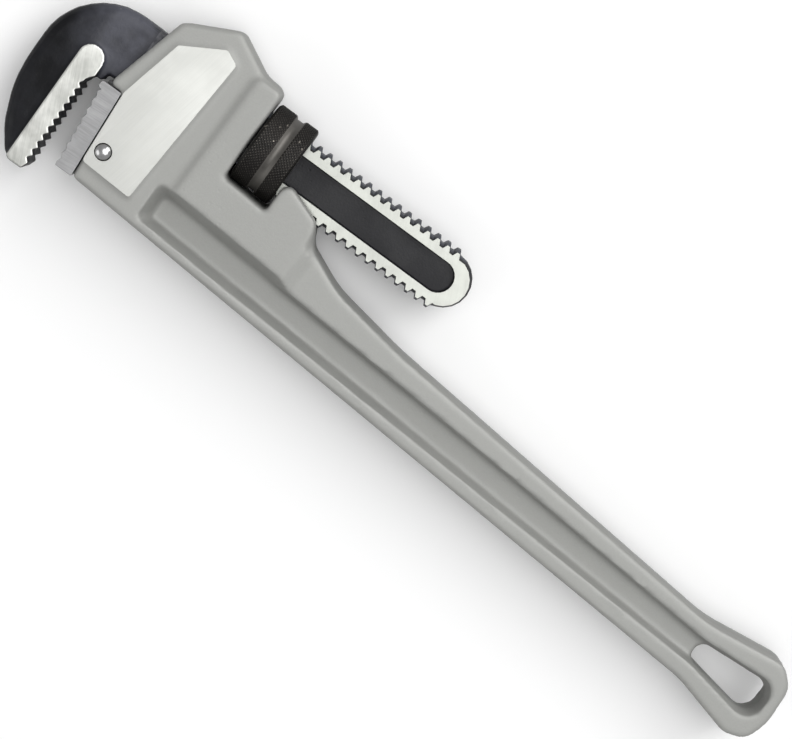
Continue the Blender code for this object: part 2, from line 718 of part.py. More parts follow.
def make_adjusting_nut(axis):
    finish = material("blackened_steel", STEEL_DARK, 0.45, 0.8)
    nut = piece("adjusting_nut", nut_blank(), axis, finish)
    combine(nut, "nut_thread", thread_groove(), "DIFFERENCE")


# ---------------------------------------------------------------- springs and their pins

def flat_spring_height(x):
    """Underside of the flat spring: flat at its rivet, then bowed down to the shank."""
    rest = CHANNEL_ROOF - GAP - FLAT_THICK
    bend_from = FLAT_RIVET_X + 4
    if x <= bend_from:
        return rest
    share = (x - bend_from) / (FLAT_RIVET_X + FLAT_AHEAD - bend_from)
    sag = rest - SHANK_RADIUS - GAP
    return rest - sag * math.sin(math.pi * share) ** 2


def flat_spring_strip():
    steps = 16
    length = FLAT_BEHIND + FLAT_AHEAD
    spots = [FLAT_RIVET_X - FLAT_BEHIND + length * i / steps for i in range(steps + 1)]
    under = [Vector((x, flat_spring_height(x))) for x in spots]
    over = [Vector((spot.x, spot.y + FLAT_THICK)) for spot in reversed(under)]
    return slab(under + over, FLAT_HALF_WIDTH)


def make_flat_spring(axis):
    finish = material("spring_steel", STEEL_GREY, 0.35, 1.0)
    spring = piece("flat_spring", flat_spring_strip(), axis, finish)
    hole = cylinder(FLAT_RIVET_RADIUS + GAP, -5, 5, 20)
    hole = placed(hole, turn=Z_TO_Y, move=(FLAT_RIVET_X, CHANNEL_ROOF, 0))
    combine(spring, "rivet_hole", hole, "DIFFERENCE")


def make_flat_spring_pin(axis):
    finish = material("rivet_steel", STEEL_GREY, 0.4, 1.0)
    under = CHANNEL_ROOF - 2 * GAP - FLAT_THICK
    head = 0.8
    bm = turned([
        (0, under - head), (2 * FLAT_RIVET_RADIUS - 0.4, under - head),
        (2 * FLAT_RIVET_RADIUS, under - head / 2), (2 * FLAT_RIVET_RADIUS, under),
        (FLAT_RIVET_RADIUS, under), (FLAT_RIVET_RADIUS, CHANNEL_ROOF + FLAT_RIVET_LENGTH),
        (0, CHANNEL_ROOF + FLAT_RIVET_LENGTH),
    ], 20)
    piece("flat_spring_pin", placed(bm, turn=Z_TO_Y, move=(FLAT_RIVET_X, 0, 0)), axis, finish)


def rivet_bore():
    top = CHANNEL_ROOF + FLAT_RIVET_LENGTH + GAP
    bm = cylinder(FLAT_RIVET_RADIUS + GAP, CHANNEL_ROOF - 1, top, 20)
    return placed(bm, turn=Z_TO_Y, move=(FLAT_RIVET_X, 0, 0))


def coil_seat():
    """Height of the flange that the coil spring stands on."""
    return -SHANK_RADIUS - GAP - COIL_LENGTH - GAP


def make_coil_spring(axis):
    """Wire helix standing along y in the bore under the shank."""
    finish = material("coil_steel", STEEL_GREY, 0.3, 1.0)
    curve = bpy.data.curves.new("coil_spring", "CURVE")
    curve.dimensions = "3D"
    curve.bevel_depth = COIL_WIRE * MM
    curve.bevel_resolution = 2
    curve.use_fill_caps = True
    steps = COIL_SIDES * COIL_TURNS
    spline = curve.splines.new("POLY")
    spline.points.add(steps)
    low = coil_seat() + GAP + COIL_WIRE
    rise = COIL_LENGTH - 2 * COIL_WIRE
    for i, point in enumerate(spline.points):
        turn = 2 * math.pi * COIL_TURNS * i / steps
        x = COIL_X + COIL_RADIUS * math.cos(turn)
        y = low + rise * i / steps
        z = COIL_RADIUS * math.sin(turn)
        point.co = (x * MM, y * MM, z * MM, 1)
    curve.materials.append(finish)
    obj = bpy.data.objects.new("coil_spring", curve)
    bpy.context.scene.collection.objects.link(obj)
    obj.parent = axis


def make_coil_spring_pin(axis):
    """Guide pin with a flange: pressed into the casting, standing inside the coil."""
    finish = material("guide_steel", STEEL_GREY, 0.4, 1.0)
    seat = coil_seat()
    flange = COIL_RADIUS + COIL_WIRE
    under = seat - COIL_FLANGE
    root = under - COIL_PIN_ROOT
    tip = seat + COIL_PIN_LENGTH
    bm = turned([
        (0, root), (COIL_PIN_RADIUS, root), (COIL_PIN_RADIUS, under), (flange, under),
        (flange, seat), (COIL_PIN_RADIUS, seat), (COIL_PIN_RADIUS, tip - 0.6),
        (COIL_PIN_RADIUS - 0.6, tip), (0, tip),
    ], 20)
    piece("coil_spring_pin", placed(bm, turn=Z_TO_Y, move=(COIL_X, 0, 0)), axis, finish)


def coil_bore():
    """Stepped bore for the coil spring and its pin, open at the shank's channel."""
    wide = COIL_RADIUS + COIL_WIRE + GAP
    narrow = COIL_PIN_RADIUS + GAP
    seat = coil_seat() - COIL_FLANGE - GAP
    root = seat - COIL_PIN_ROOT
    mouth = CHANNEL_FLOOR + 2
    bm = turned([
        (0, root), (narrow, root), (narrow, seat), (wide, seat), (wide, mouth), (0, mouth),
    ], 24)
    return placed(bm, turn=Z_TO_Y, move=(COIL_X, 0, 0))


# ---------------------------------------------------------------- assembly

def clear_scene():
    for obj in list(bpy.data.objects):
        bpy.data.objects.remove(obj, do_unlink=True)


def wrench_axis():
    """Empty at the nut's centre, placed so that the origin is the wrench's bottom centre."""
    outline = handle_outline()
    left = HOOK_BACK
    right = max(spot.x for spot in outline)
    low = min(spot.y for spot in outline)
    high = max(spot.y for spot in outline)
    axis = bpy.data.objects.new("wrench_axis", None)
    bpy.context.scene.collection.objects.link(axis)
    axis.location = (-(left + right) / 2 * MM, -(low + high) / 2 * MM, NUT_RADIUS * MM)
    return axis


def main():
    clear_scene()
    axis = wrench_axis()
    make_handle(axis)
    make_hook_jaw(axis)
    make_heel_jaw(axis)
    make_heel_jaw_pin(axis)
    make_adjusting_nut(axis)
    make_flat_spring(axis)
    make_flat_spring_pin(axis)
    make_coil_spring(axis)
    make_coil_spring_pin(axis)


main()
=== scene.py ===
"""Looks of the 450 mm pipe wrench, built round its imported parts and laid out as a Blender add-on.

Each operator builds one piece or one group of like pieces on the CAD frame: the cast handle with
its machined pads, the forged hook jaw, the heel jaw with its pin, the knurled nut, the springs, and
the stage. Places are measured from the centre of the adjusting nut: x along the shank to the end
of the handle, y across it and z through the thickness.
"""
import json
import math

import bmesh
import bpy
from bpy.props import FloatProperty, FloatVectorProperty, IntProperty, PointerProperty
from mathutils import Matrix, Vector, noise


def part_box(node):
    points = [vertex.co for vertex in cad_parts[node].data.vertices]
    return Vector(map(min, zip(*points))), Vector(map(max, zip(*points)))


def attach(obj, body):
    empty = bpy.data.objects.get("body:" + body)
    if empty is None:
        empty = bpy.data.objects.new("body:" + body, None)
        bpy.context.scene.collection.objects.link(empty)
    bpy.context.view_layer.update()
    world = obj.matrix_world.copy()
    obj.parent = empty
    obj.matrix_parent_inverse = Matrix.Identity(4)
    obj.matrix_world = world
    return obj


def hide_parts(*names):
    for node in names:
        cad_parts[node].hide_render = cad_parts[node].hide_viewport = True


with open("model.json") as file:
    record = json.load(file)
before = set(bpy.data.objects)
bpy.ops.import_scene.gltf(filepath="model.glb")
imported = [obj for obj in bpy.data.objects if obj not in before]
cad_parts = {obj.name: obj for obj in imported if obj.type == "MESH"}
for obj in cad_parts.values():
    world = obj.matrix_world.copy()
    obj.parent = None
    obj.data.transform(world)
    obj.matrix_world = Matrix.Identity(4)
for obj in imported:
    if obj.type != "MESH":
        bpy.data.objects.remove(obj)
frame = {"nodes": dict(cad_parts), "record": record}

bl_info = {
    "name": "Pipe Wrench Looks",
    "version": (1, 0, 0),
    "blender": (4, 5, 0),
    "location": "3D View > Sidebar > Wrench",
    "description": "Builds the finished surfaces of a pipe wrench round its CAD frame",
    "category": "Object",
}

MM = 0.001

# The nut's centre is the wrench's own middle: the shank's axis runs through it along x.
NUT_LOW, NUT_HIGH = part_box("adjusting_nut")
NUT = (NUT_LOW + NUT_HIGH) / 2
NUT_RADIUS = (NUT_HIGH.z - NUT_LOW.z) / 2
NUT_HALF = (NUT_HIGH.x - NUT_LOW.x) / 2
HOOK_LOW, HOOK_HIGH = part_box("hook_jaw")
STRIP_HALF = (HOOK_HIGH.z - HOOK_LOW.z) / 2     # half thickness at the hook's ground strip
PIN_LOW, PIN_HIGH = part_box("heel_jaw_pin")
PAD_HALF = next(m["pos_m"][2] for m in frame["record"]["mounts"] if m["name"] == "front_pad") - NUT.z


def spot(x, y, z=0.0):
    """Point of the row frame from millimetres measured from the nut's centre."""
    return NUT + Vector((x, y, z)) * MM


# ---------------------------------------------------------------- settings

class WrenchSizes(bpy.types.PropertyGroup):
    casting_detail: FloatProperty(
        name="Casting detail", description="Spacing of the casting's surface points",
        default=0.0009, min=0.0004, max=0.004, precision=5, subtype="DISTANCE", unit="LENGTH")
    forging_detail: FloatProperty(
        name="Forging detail", description="Spacing of the hook's surface points",
        default=0.00045, min=0.0003, max=0.004, precision=5, subtype="DISTANCE", unit="LENGTH")
    casting_rounds: IntProperty(
        name="Casting softness", description="Rounds of smoothing over the whole casting",
        default=1, min=0, max=20)
    fillet_rounds: IntProperty(
        name="Cast fillets", description="Rounds of smoothing in the casting's inner corners",
        default=3, min=0, max=60)
    parting_ridge: FloatProperty(
        name="Parting line", description="Height of the ridge where the mould's halves met",
        default=0.00016, min=0.0, max=0.001, precision=5, subtype="DISTANCE", unit="LENGTH")
    forged_waves: FloatProperty(
        name="Forged unevenness", description="Height of the waves in the hook's forged skin",
        default=0.00022, min=0.0, max=0.001, precision=5, subtype="DISTANCE", unit="LENGTH")
    hook_slope: FloatProperty(
        name="Hook slope", description="How much thinner the hook gets towards its back, each side",
        default=0.0014, min=0.0, max=0.004, precision=5, subtype="DISTANCE", unit="LENGTH")
    pad_lift: FloatProperty(
        name="Pad skin", description="Rise of a machined pad's skin above the CAD face",
        default=0.00004, min=0.0, max=0.0005, precision=5, subtype="DISTANCE", unit="LENGTH")
    edge_break: FloatProperty(
        name="Broken edges", description="Width of the bevel on ground edges",
        default=0.0002, min=0.0, max=0.001, precision=5, subtype="DISTANCE", unit="LENGTH")
    knurl_pitch: FloatProperty(
        name="Knurl pitch", description="Width of one diamond of the knurl",
        default=0.0016, min=0.0005, max=0.004, precision=5, subtype="DISTANCE", unit="LENGTH")
    knurl_height: FloatProperty(
        name="Knurl height", description="Height of the knurl's diamonds above the blank",
        default=0.0004, min=0.0, max=0.001, precision=5, subtype="DISTANCE", unit="LENGTH")


def colour(name, description, value):
    """Colour setting in linear light."""
    return FloatVectorProperty(name=name, description=description, default=value, subtype="COLOR",
                               size=3, min=0.0, max=1.0)


class WrenchColours(bpy.types.PropertyGroup):
    casting: colour("Casting", "Blasted aluminium of the handle", (0.318, 0.320, 0.306))
    casting_worn: colour("Casting, worn", "Where the casting's edges are rubbed", (0.41, 0.413, 0.395))
    machined: colour("Machined pad", "Milled and brushed aluminium", (0.515, 0.52, 0.497))
    forging: colour("Forging", "Blackened skin of the hook jaw", (0.0030, 0.0033, 0.0048))
    forging_scuffed: colour("Forging, scuffed", "Rubbed face of the arm", (0.072, 0.074, 0.090))
    forging_worn: colour("Forging, worn", "Rubbed edges of the hook", (0.22, 0.22, 0.23))
    forging_dull: colour("Forging, dull", "Floor of the shank's recess", (0.0125, 0.0125, 0.0145))
    thread: colour("Thread", "Flanks of the rolled thread", (0.075, 0.080, 0.095))
    rail: colour("Rails", "Ground rails of the hook jaw's shank", (0.40, 0.41, 0.38))
    strip: colour("Strip", "Ground strip behind the hook jaw's teeth", (0.72, 0.725, 0.69))
    ground_shade: colour("Ground, shaded", "Darker marks in the ground steel", (0.30, 0.305, 0.285))
    heel: colour("Heel jaw", "Ground faces of the heel jaw", (0.33, 0.33, 0.333))
    polished: colour("Pin", "Polished dome of the heel jaw's pin", (0.50, 0.50, 0.50))
    nut: colour("Nut", "Black oxide on the nut", (0.012, 0.011, 0.010))
    nut_groove: colour("Nut, groove", "Smoother oxide between the knurled bands", (0.095, 0.09, 0.083))
    nut_worn: colour("Nut, worn", "Rubbed crests of the knurl", (0.34, 0.31, 0.27))
    spring: colour("Springs", "Drawn spring steel", (0.45, 0.45, 0.46))
    floor: colour("Floor", "Plain pale floor", (0.86, 0.86, 0.86))


class WrenchLight(bpy.types.PropertyGroup):
    overhead: FloatProperty(
        name="Overhead", description="Power of the soft box above the wrench", default=20.0,
        min=0.0, max=500.0, unit="POWER")
    side: FloatProperty(
        name="Side", description="Power of the soft box on the hook's side", default=20.0,
        min=0.0, max=500.0, unit="POWER")
    fill: FloatProperty(
        name="Fill", description="Power of the soft box on the heel jaw's side", default=7.0,
        min=0.0, max=500.0, unit="POWER")
    surround: FloatProperty(
        name="Surround", description="Brightness of the room round the stage", default=0.46,
        min=0.0, max=10.0)


# ---------------------------------------------------------------- shader nodes

def node(tree, kind, sockets=None, **settings):
    """New node with its settings, and its inputs linked to sockets or set to values."""
    made = tree.nodes.new(kind)
    for key, value in settings.items():
        setattr(made, key, value)
    for key, value in (sockets or {}).items():
        feed(tree, made.inputs[key], value)
    return made


def feed(tree, socket, value):
    if isinstance(value, bpy.types.NodeSocket):
        tree.links.new(value, socket)
    else:
        socket.default_value = value


def math_node(tree, operation, a, b=0.0, clamp=False):
    return node(tree, "ShaderNodeMath", {0: a, 1: b}, operation=operation, use_clamp=clamp).outputs[0]


def ramp(tree, value, low, high, to_low=0.0, to_high=1.0):
    """Value spread smoothly from the range low to high onto to_low to to_high, clamped."""
    made = node(tree, "ShaderNodeMapRange", {
        "Value": value, "From Min": low, "From Max": high, "To Min": to_low, "To Max": to_high,
    }, interpolation_type="SMOOTHSTEP")
    return made.outputs["Result"]


def blend(tree, factor, a, b):
    """Mix of two colours."""
    made = node(tree, "ShaderNodeMix", data_type="RGBA")
    feed(tree, made.inputs[0], factor)
    for socket, value in ((made.inputs[6], a), (made.inputs[7], b)):
        feed(tree, socket, value if isinstance(value, bpy.types.NodeSocket) else (*value[:3], 1.0))
    return made.outputs[2]


def new_group(name, inputs, outputs):
    """Empty shader group: inputs are (name, type, default), outputs are (name, type)."""
    tree = bpy.data.node_groups.new(name, "ShaderNodeTree")
    for label, kind, default in inputs:
        socket = tree.interface.new_socket(label, in_out="INPUT", socket_type=kind)
        if default is not None:
            socket.default_value = default
    for label, kind in outputs:
        tree.interface.new_socket(label, in_out="OUTPUT", socket_type=kind)
    return tree, tree.nodes.new("NodeGroupInput").outputs, tree.nodes.new("NodeGroupOutput").inputs


VECTOR, VALUE = "NodeSocketVector", "NodeSocketFloat"


def make_grain_group():
    """Blasted or forged skin: a fine grain with scattered pits, and a slow change of tone."""
    tree, given, out = new_group("Grain", [
        ("Vector", VECTOR, None), ("Grain Scale", VALUE, 1500.0), ("Pit Scale", VALUE, 400.0),
        ("Pit Depth", VALUE, 0.5), ("Cloud Scale", VALUE, 30.0),
    ], [("Height", VALUE), ("Tone", VALUE), ("Cloud", VALUE)])
    grain = node(tree, "ShaderNodeTexNoise", {
        "Vector": given["Vector"], "Scale": given["Grain Scale"], "Detail": 3.0, "Roughness": 0.6})
    pits = node(tree, "ShaderNodeTexVoronoi", {
        "Vector": given["Vector"], "Scale": given["Pit Scale"], "Randomness": 1.0})
    cloud = node(tree, "ShaderNodeTexNoise", {
        "Vector": given["Vector"], "Scale": given["Cloud Scale"], "Detail": 4.0, "Roughness": 0.55})
    few = ramp(tree, cloud.outputs["Fac"], 0.5, 0.62)
    hole = ramp(tree, pits.outputs["Distance"], 0.05, 0.22, 1.0, 0.0)
    depth = math_node(tree, "MULTIPLY", math_node(tree, "MULTIPLY", hole, few), given["Pit Depth"])
    tree.links.new(math_node(tree, "SUBTRACT", grain.outputs["Fac"], depth), out["Height"])
    tree.links.new(ramp(tree, grain.outputs["Fac"], 0.3, 0.7), out["Tone"])
    tree.links.new(ramp(tree, cloud.outputs["Fac"], 0.3, 0.7), out["Cloud"])
    return tree


def make_lines_group():
    """Brushed or ground metal: long fine lines along y, turned in the plane of the face."""
    tree, given, out = new_group("Ground Lines", [
        ("Vector", VECTOR, None), ("Turn", VECTOR, (0.0, 0.0, 0.0)), ("Fineness", VALUE, 3000.0),
        ("Length", VALUE, 60.0), ("Smudge Scale", VALUE, 60.0),
    ], [("Height", VALUE), ("Tone", VALUE), ("Smudge", VALUE)])
    turned = node(tree, "ShaderNodeMapping", {"Vector": given["Vector"], "Rotation": given["Turn"]})
    scale = node(tree, "ShaderNodeCombineXYZ", {
        "X": given["Fineness"], "Y": given["Length"], "Z": given["Fineness"]})
    stretched = node(tree, "ShaderNodeVectorMath", {0: turned.outputs[0], 1: scale.outputs[0]},
                     operation="MULTIPLY")
    fine = node(tree, "ShaderNodeTexNoise", {
        "Vector": stretched.outputs[0], "Scale": 1.0, "Detail": 3.0, "Roughness": 0.65})
    wide = node(tree, "ShaderNodeTexNoise", {
        "Vector": stretched.outputs[0], "Scale": 0.23, "Detail": 2.0, "Roughness": 0.5})
    smudge = node(tree, "ShaderNodeTexNoise", {
        "Vector": given["Vector"], "Scale": given["Smudge Scale"], "Detail": 3.0, "Roughness": 0.6})
    both = math_node(tree, "ADD", math_node(tree, "MULTIPLY", fine.outputs["Fac"], 0.65),
                     math_node(tree, "MULTIPLY", wide.outputs["Fac"], 0.35))
    tree.links.new(both, out["Height"])
    tree.links.new(ramp(tree, both, 0.35, 0.65), out["Tone"])
    tree.links.new(ramp(tree, smudge.outputs["Fac"], 0.3, 0.7), out["Smudge"])
    return tree


def make_wear_group():
    """Masks from the surface's curvature: rubbed edges and crests, and grime in the corners."""
    tree, given, out = new_group("Edge Wear", [
        ("Vector", VECTOR, None), ("Edge From", VALUE, 0.52), ("Edge To", VALUE, 0.60),
        ("Corner From", VALUE, 0.48), ("Corner To", VALUE, 0.40), ("Break Up", VALUE, 500.0),
    ], [("Edge", VALUE), ("Corner", VALUE)])
    sharpness = node(tree, "ShaderNodeNewGeometry").outputs["Pointiness"]
    patches = node(tree, "ShaderNodeTexNoise", {
        "Vector": given["Vector"], "Scale": given["Break Up"], "Detail": 3.0, "Roughness": 0.6})
    patchy = ramp(tree, patches.outputs["Fac"], 0.32, 0.62)
    edge = ramp(tree, sharpness, given["Edge From"], given["Edge To"])
    corner = ramp(tree, sharpness, given["Corner To"], given["Corner From"], 1.0, 0.0)
    tree.links.new(math_node(tree, "MULTIPLY", edge, patchy), out["Edge"])
    tree.links.new(corner, out["Corner"])
    return tree


def make_level_group():
    """Mask of the flat faces that stand a given height from the middle plane of a piece."""
    tree, given, out = new_group("Flat Face", [
        ("Vector", VECTOR, None), ("Middle", VALUE, 0.0), ("Level", VALUE, 0.01),
        ("Blend", VALUE, 0.00006),
    ], [("Mask", VALUE)])
    z = node(tree, "ShaderNodeSeparateXYZ", {0: given["Vector"]}).outputs["Z"]
    away = math_node(tree, "ABSOLUTE", math_node(tree, "SUBTRACT", z, given["Middle"]))
    low = math_node(tree, "SUBTRACT", given["Level"], given["Blend"])
    tree.links.new(ramp(tree, away, low, given["Level"]), out["Mask"])
    return tree


GROUPS = {
    "grain": make_grain_group,
    "lines": make_lines_group,
    "wear": make_wear_group,
    "level": make_level_group,
}


def group_node(tree, name, sockets):
    """Node of one of the shared groups, which is made when it is first asked for."""
    key = "wrench_" + name
    found = bpy.data.node_groups.get(key)
    if found is None:
        found = GROUPS[name]()
        found.name = key
    return node(tree, "ShaderNodeGroup", sockets, node_tree=found).outputs


def new_finish(name, metallic, specular=0.5):
    """Material with its tree, its Principled shader and the piece's own coordinates."""
    mat = bpy.data.materials.new(name)
    mat.use_nodes = True
    tree = mat.node_tree
    shader = tree.nodes["Principled BSDF"]
    shader.inputs["Metallic"].default_value = metallic
    shader.inputs["Specular IOR Level"].default_value = specular
    return mat, tree, shader, node(tree, "ShaderNodeTexCoord").outputs["Object"]


def bump(tree, shader, height, distance, strength=1.0):
    made = node(tree, "ShaderNodeBump", {
        "Height": height, "Distance": distance, "Strength": strength})
    tree.links.new(made.outputs["Normal"], shader.inputs["Normal"])


def cast_aluminium(colours):
    """Blasted casting: fine matte grain, cloudy tone, lighter edges and greyer corners."""
    mat, tree, shader, place = new_finish("cast_aluminium", 0.35)
    grain = group_node(tree, "grain", {
        "Vector": place, "Grain Scale": 1300.0, "Pit Scale": 260.0, "Pit Depth": 0.9,
        "Cloud Scale": 22.0})
    wear = group_node(tree, "wear", {
        "Vector": place, "Edge From": 0.515, "Edge To": 0.58, "Corner From": 0.485,
        "Corner To": 0.43, "Break Up": 260.0})
    base = colours.casting
    cloudy = blend(tree, grain["Cloud"], [c * 0.95 for c in base], [c * 1.05 for c in base])
    speckled = blend(tree, math_node(tree, "MULTIPLY", grain["Tone"], 0.22), cloudy,
                     [c * 0.80 for c in base])
    rubbed = blend(tree, math_node(tree, "MULTIPLY", wear["Edge"], 0.55), speckled,
                   colours.casting_worn)
    grimy = blend(tree, math_node(tree, "MULTIPLY", wear["Corner"], 0.35), rubbed,
                  [c * 0.55 for c in base])
    tree.links.new(grimy, shader.inputs["Base Color"])
    tree.links.new(ramp(tree, grain["Cloud"], 0.0, 1.0, 0.52, 0.62), shader.inputs["Roughness"])
    bump(tree, shader, grain["Height"], 0.00010, 0.55)
    return mat


def machined_aluminium(colours):
    """Milled pad: bright, with fine brush lines and faint smudges."""
    mat, tree, shader, place = new_finish("machined_aluminium", 1.0)
    lines = group_node(tree, "lines", {
        "Vector": place, "Turn": (0.0, 0.0, math.radians(12)), "Fineness": 2600.0, "Length": 55.0,
        "Smudge Scale": 45.0})
    base = colours.machined
    toned = blend(tree, lines["Tone"], [c * 0.93 for c in base], base)
    smudged = blend(tree, math_node(tree, "MULTIPLY", lines["Smudge"], 0.25), toned,
                    [c * 0.94 for c in base])
    tree.links.new(smudged, shader.inputs["Base Color"])
    tree.links.new(ramp(tree, lines["Smudge"], 0.0, 1.0, 0.30, 0.40), shader.inputs["Roughness"])
    bump(tree, shader, lines["Height"], 0.00004, 0.35)
    return mat


def forged_steel(colours):
    """Blackened forging with ground rails and strip, grey thread flanks and a dull recess."""
    mat, tree, shader, place = new_finish("forged_steel", 0.0, 0.24)
    apart = node(tree, "ShaderNodeSeparateXYZ", {0: place}).outputs
    strip = group_node(tree, "level", {
        "Vector": place, "Middle": NUT.z, "Level": STRIP_HALF - LEVEL_SLACK})["Mask"]
    rail = group_node(tree, "level", {
        "Vector": place, "Middle": NUT.z, "Level": SHANK_HALF * MM - LEVEL_SLACK})["Mask"]
    on_shank = math_node(tree, "GREATER_THAN", apart["X"], spot(RAIL_FROM, 0).x)
    past_nut = ramp(tree, apart["X"], spot(BRIGHT_FROM - 1, 0).x, spot(BRIGHT_FROM, 0).x)
    bright = math_node(tree, "MAXIMUM", strip, math_node(tree, "MULTIPLY", rail, past_nut))
    off_axis = math_node(tree, "ABSOLUTE", math_node(tree, "SUBTRACT", apart["Y"], NUT.y))
    flank = math_node(tree, "MULTIPLY", ramp(tree, off_axis, *FLANK_BAND), on_shank)
    recessed = math_node(tree, "MULTIPLY", ramp(tree, off_axis, *RECESS_BAND), on_shank)
    grain = group_node(tree, "grain", {
        "Vector": place, "Grain Scale": 900.0, "Pit Scale": 330.0, "Pit Depth": 1.2,
        "Cloud Scale": 55.0})
    lines = group_node(tree, "lines", {
        "Vector": place, "Turn": (0.0, 0.0, math.radians(-24)), "Fineness": 2400.0, "Length": 90.0,
        "Smudge Scale": 80.0})
    wear = group_node(tree, "wear", {
        "Vector": place, "Edge From": 0.53, "Edge To": 0.64, "Break Up": 420.0})
    base = colours.forging
    skin = blend(tree, grain["Cloud"], [c * 0.6 for c in base], [c * 1.8 for c in base])
    to_arm = node(tree, "ShaderNodeVectorMath", {0: place, 1: spot(*SCUFF_AT)}, operation="DISTANCE")
    scuffed = ramp(tree, to_arm.outputs["Value"], *SCUFF_BAND)
    patchy = ramp(tree, grain["Cloud"], 0.0, 1.0, 0.45, 1.0)
    skin = blend(tree, math_node(tree, "MULTIPLY", scuffed, patchy), skin, colours.forging_scuffed)
    skin = blend(tree, recessed, skin, colours.forging_dull)
    skin = blend(tree, flank, skin, colours.thread)
    off_shank = math_node(tree, "SUBTRACT", 1.0, on_shank)
    rubbed = math_node(tree, "MULTIPLY", math_node(tree, "MULTIPLY", wear["Edge"], 0.30), off_shank)
    skin = blend(tree, rubbed, skin, colours.forging_worn)
    metal = blend(tree, strip, colours.rail, colours.strip)
    worked = math_node(tree, "ADD", math_node(tree, "MULTIPLY", lines["Tone"], 0.5), lines["Smudge"])
    metal = blend(tree, math_node(tree, "MULTIPLY", worked, 0.5), metal, colours.ground_shade)
    tree.links.new(blend(tree, bright, skin, metal), shader.inputs["Base Color"])
    skin_metal = math_node(tree, "MAXIMUM", math_node(tree, "MULTIPLY", flank, 0.6), rubbed)
    tree.links.new(math_node(tree, "MAXIMUM", bright, skin_metal), shader.inputs["Metallic"])
    dull = ramp(tree, grain["Cloud"], 0.0, 1.0, 0.34, 0.50)
    polish = node(tree, "ShaderNodeMix", {2: dull, 3: 0.34}, data_type="FLOAT")
    tree.links.new(bright, polish.inputs[0])
    tree.links.new(polish.outputs[0], shader.inputs["Roughness"])
    rough = math_node(tree, "MULTIPLY", grain["Height"], math_node(tree, "SUBTRACT", 1.0, bright))
    scored = math_node(tree, "MULTIPLY", lines["Height"], math_node(tree, "MULTIPLY", bright, 0.2))
    bump(tree, shader, math_node(tree, "ADD", rough, scored), 0.00014, 0.7)
    return mat


def ground_steel(colours):
    """Ground faces of the heel jaw, with lines across it and rubbed edges."""
    mat, tree, shader, place = new_finish("ground_steel", 0.85)
    lines = group_node(tree, "lines", {
        "Vector": place, "Turn": (0.0, 0.0, math.radians(86)), "Fineness": 2300.0, "Length": 70.0,
        "Smudge Scale": 110.0})
    wear = group_node(tree, "wear", {
        "Vector": place, "Edge From": 0.55, "Edge To": 0.75, "Break Up": 600.0})
    base = colours.heel
    toned = blend(tree, lines["Tone"], [c * 0.80 for c in base], [c * 1.10 for c in base])
    smudged = blend(tree, math_node(tree, "MULTIPLY", lines["Smudge"], 0.4), toned,
                    [c * 0.82 for c in base])
    rubbed = blend(tree, math_node(tree, "MULTIPLY", wear["Edge"], 0.5), smudged,
                   [min(1.0, c * 1.6) for c in base])
    tree.links.new(rubbed, shader.inputs["Base Color"])
    tree.links.new(ramp(tree, lines["Smudge"], 0.0, 1.0, 0.42, 0.52), shader.inputs["Roughness"])
    bump(tree, shader, lines["Height"], 0.00006, 0.5)
    return mat


def polished_steel(colours):
    """Pin head: polished, with faint marks and smudges."""
    mat, tree, shader, place = new_finish("polished_steel", 1.0)
    lines = group_node(tree, "lines", {
        "Vector": place, "Fineness": 1800.0, "Length": 400.0, "Smudge Scale": 400.0})
    base = colours.polished
    toned = blend(tree, lines["Smudge"], [c * 0.85 for c in base], base)
    tree.links.new(toned, shader.inputs["Base Color"])
    tree.links.new(ramp(tree, lines["Smudge"], 0.0, 1.0, 0.16, 0.26), shader.inputs["Roughness"])
    bump(tree, shader, lines["Height"], 0.00002, 0.3)
    return mat


def blackened_steel(name, base, colours):
    """Oiled black oxide, rubbed on the knurl's crests."""
    mat, tree, shader, place = new_finish(name, 0.75)
    grain = group_node(tree, "grain", {
        "Vector": place, "Grain Scale": 1600.0, "Pit Scale": 500.0, "Pit Depth": 0.3,
        "Cloud Scale": 90.0})
    wear = group_node(tree, "wear", {
        "Vector": place, "Edge From": 0.53, "Edge To": 0.63, "Break Up": 700.0})
    oxide = blend(tree, grain["Cloud"], [c * 0.8 for c in base], [c * 1.4 for c in base])
    rubbed = blend(tree, math_node(tree, "MULTIPLY", wear["Edge"], 0.8), oxide, colours.nut_worn)
    tree.links.new(rubbed, shader.inputs["Base Color"])
    tree.links.new(ramp(tree, grain["Cloud"], 0.0, 1.0, 0.38, 0.50), shader.inputs["Roughness"])
    bump(tree, shader, grain["Height"], 0.00003, 0.4)
    return mat


def spring_steel(colours):
    """Drawn wire and strip, with a straw tint in places."""
    mat, tree, shader, place = new_finish("spring_steel", 1.0)
    lines = group_node(tree, "lines", {
        "Vector": place, "Turn": (0.0, 0.0, math.radians(90)), "Fineness": 2000.0, "Length": 80.0,
        "Smudge Scale": 120.0})
    base = colours.spring
    straw = [base[0] * 1.0, base[1] * 0.90, base[2] * 0.72]
    tinted = blend(tree, math_node(tree, "MULTIPLY", lines["Smudge"], 0.5), base, straw)
    tree.links.new(tinted, shader.inputs["Base Color"])
    tree.links.new(ramp(tree, lines["Tone"], 0.0, 1.0, 0.26, 0.38), shader.inputs["Roughness"])
    bump(tree, shader, lines["Height"], 0.00003, 0.4)
    return mat


def pale_floor(colours):
    """Plain floor with a barely visible change of tone."""
    mat, tree, shader, place = new_finish("pale_floor", 0.0, 0.2)
    cloud = node(tree, "ShaderNodeTexNoise", {"Vector": place, "Scale": 2.0, "Detail": 2.0})
    base = colours.floor
    tone = blend(tree, cloud.outputs["Fac"], [c * 0.995 for c in base], base)
    seen = node(tree, "ShaderNodeLightPath").outputs["Is Camera Ray"]
    tree.links.new(blend(tree, seen, [c * 0.6 for c in base], tone), shader.inputs["Base Color"])
    shader.inputs["Roughness"].default_value = 0.9
    return mat


